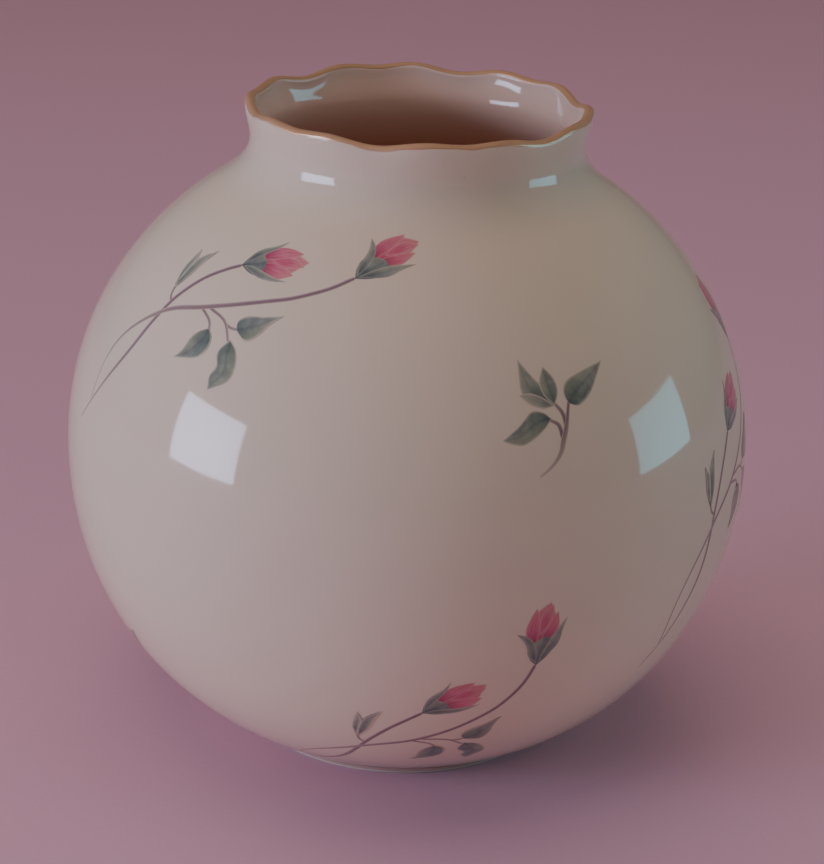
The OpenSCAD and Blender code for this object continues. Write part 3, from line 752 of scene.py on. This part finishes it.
def laid(sheet, name, material, slot, at):
    """A copy of a flat sheet laid on the vase as a thin film sunk in the glaze."""
    film = sheet.copy()
    film.data = sheet.data.copy()
    film.name = film.data.name = name
    bpy.context.scene.collection.objects.link(film)
    place(film, wrapped(vertices(film), *at))
    deselect_all()
    film.select_set(True)
    bpy.context.view_layer.objects.active = film
    bpy.ops.object.mode_set(mode="EDIT")
    bpy.ops.mesh.select_all(action="SELECT")
    bpy.ops.mesh.remove_doubles(threshold=DOUBLE)
    bpy.ops.object.mode_set(mode="OBJECT")
    thick = film.modifiers.new("film", "SOLIDIFY")
    thick.thickness, thick.offset = FILM_T * MM, -1
    bpy.ops.object.modifier_apply(modifier=thick.name)
    # The print has melted into the glaze, so it shades with the globe's own curve.
    bpy.ops.object.shade_smooth()
    film.data.normals_split_custom_set_from_vertices(globe_normal(vertices(film) / MM).tolist())
    finished(film, material, slot, name)


SPRAYS = {"front_left": (-39.4, 37.8, 0), "front_low": (7.7, -36.1, 13.8), "right": (70.4, 4.7, 21.8),
          "back_right": (146, 33, -4), "back_low": (186, -34, 16), "back_left": (244, 8, 20)}
SPRIGS = {"front": (26, 24.1, 0), "left_low": (292, -36, 6), "back": (202, 31, 24),
          "right_low": (118, -30, -20)}
STEM, LEAF, BUD = stem_enamel(), leaf_enamel(), bud_enamel()

for sheet, family, ink, material, slot, places in (
        (spray_stems(), "spray", "stems", STEM, "stem_enamel", SPRAYS),
        (spray_leaves(), "spray", "leaves", LEAF, "leaf_enamel", SPRAYS),
        (spray_buds(), "spray", "buds", BUD, "bud_enamel", SPRAYS),
        (sprig_stems(), "sprig", "stems", STEM, "stem_enamel", SPRIGS),
        (sprig_leaves(), "sprig", "leaves", LEAF, "leaf_enamel", SPRIGS)):
    for where, at in places.items():
        laid(sheet, f"{family}_{where}_{ink}", material, slot, at)
    bpy.data.objects.remove(sheet)


# ---------------------------------------------------------------- camera, floor and light
def camera_view():
    """The camera, about 0.6 m from the globe's middle, looking 20.6 degrees down and rolled a little."""
    pitch, roll, yaw = (math.radians(a) for a in (20.62, 2.13, 0.0995))
    stand = Vector((0, -0.56163, 0.27954))
    ahead = Vector((math.sin(yaw), math.cos(pitch) * math.cos(yaw),
                    -math.sin(pitch) * math.cos(yaw))).normalized()
    level = ahead.cross(Vector((0, 0, 1))).normalized()
    upward = level.cross(ahead)
    right = level * math.cos(roll) + upward * math.sin(roll)
    top = upward * math.cos(roll) - level * math.sin(roll)
    data = bpy.data.cameras.new("camera")
    data.lens, data.sensor_width = 112.21, 36
    camera = bpy.data.objects.new("camera", data)
    camera.matrix_world = Matrix((right, top, -ahead)).transposed().to_4x4()
    camera.location = stand
    bpy.context.scene.collection.objects.link(camera)
    bpy.context.scene.camera = camera
    return stand


def soft_light(name, spot, aim, width, height, radiance, colour="FFFFFF", grid=None):
    """A softbox at spot, facing aim; its power follows from how bright its face is. A grid, in degrees,
    keeps its light from spilling sideways, and the same face brightness then takes less power."""
    data = bpy.data.lights.new(name, "AREA")
    data.shape, data.size, data.size_y = "RECTANGLE", width, height
    data.energy = radiance * math.pi * width * height
    if grid:
        half = math.radians(grid) / 2
        data.spread = 2 * half
        data.energy *= 1 - half / math.tan(half)
    data.color = linear(colour)[:3]
    light = bpy.data.objects.new(name, data)
    light.location = spot
    light.rotation_euler = (Vector(aim) - Vector(spot)).to_track_quat("-Z", "Y").to_euler()
    bpy.context.scene.collection.objects.link(light)
    return light


def mirrored(eye, azimuth, height, distance):
    """Where a light has to stand for the glaze to show it at this azimuth and height of the globe."""
    az = math.radians(azimuth)
    r = float(globe_radius(height))
    lean = float(globe_radius(height + 0.1) - globe_radius(height - 0.1)) / 0.2
    point = Vector((r * math.sin(az), -r * math.cos(az), height)) * MM
    normal = Vector((math.sin(az), -math.cos(az), -lean)).normalized()
    seen = (point - eye).normalized()
    return point + (seen - 2 * seen.dot(normal) * normal) * distance


eye = camera_view()
middle = (0, 0, EQUATOR_H * MM)
soft_light("left_softbox", mirrored(eye, -34, 85.5, 1.3), middle, 0.62, 0.62, 13.9, "D2DEFF", 110)
soft_light("right_softbox", mirrored(eye, 46.5, 85, 1.3), middle, 0.6, 0.7, 4.2, "8CE8FF", 110)
soft_light("top_softbox", (-0.1, -0.05, 1.6), middle, 1.4, 1.4, 1.3, "FFD8D0").visible_glossy = False
soft_light("front_fill", (1.1, -1.5, 0.9), middle, 2.4, 1.8, 0.12, "D8FFFA").visible_glossy = False

world = bpy.data.worlds.new("studio")
world.use_nodes = True
world.node_tree.nodes["Background"].inputs["Color"].default_value = linear("E4E0E2")
world.node_tree.nodes["Background"].inputs["Strength"].default_value = 0.14
bpy.context.scene.world = world


def pale_floor():
    # Seamless background paper, pale rose: matte, with a barely visible tooth.
    material, tree, shader = new_material("rose_background_paper", Roughness=0.9)
    spot = add(tree, "TexCoord", {}).outputs["Object"]
    tooth = add(tree, "TexNoise", {"Vector": spot, "Scale": 1 / (1.2 * MM), "Detail": 3.0})
    colour = add(tree, "Mix", {0: tooth.outputs["Fac"], 6: linear("F0C2D6"), 7: linear("EBBACF")},
                 data_type="RGBA")
    tree.links.new(colour.outputs[2], shader.inputs["Base Color"])
    return material


deselect_all()
bpy.ops.mesh.primitive_plane_add(size=30, location=(0, 0, cad_box[0][2] - 0.02 * MM))
bpy.ops.object.transform_apply(location=True, rotation=True, scale=True)
floor = bpy.context.object
floor.name = "floor"
floor.data.materials.append(pale_floor())
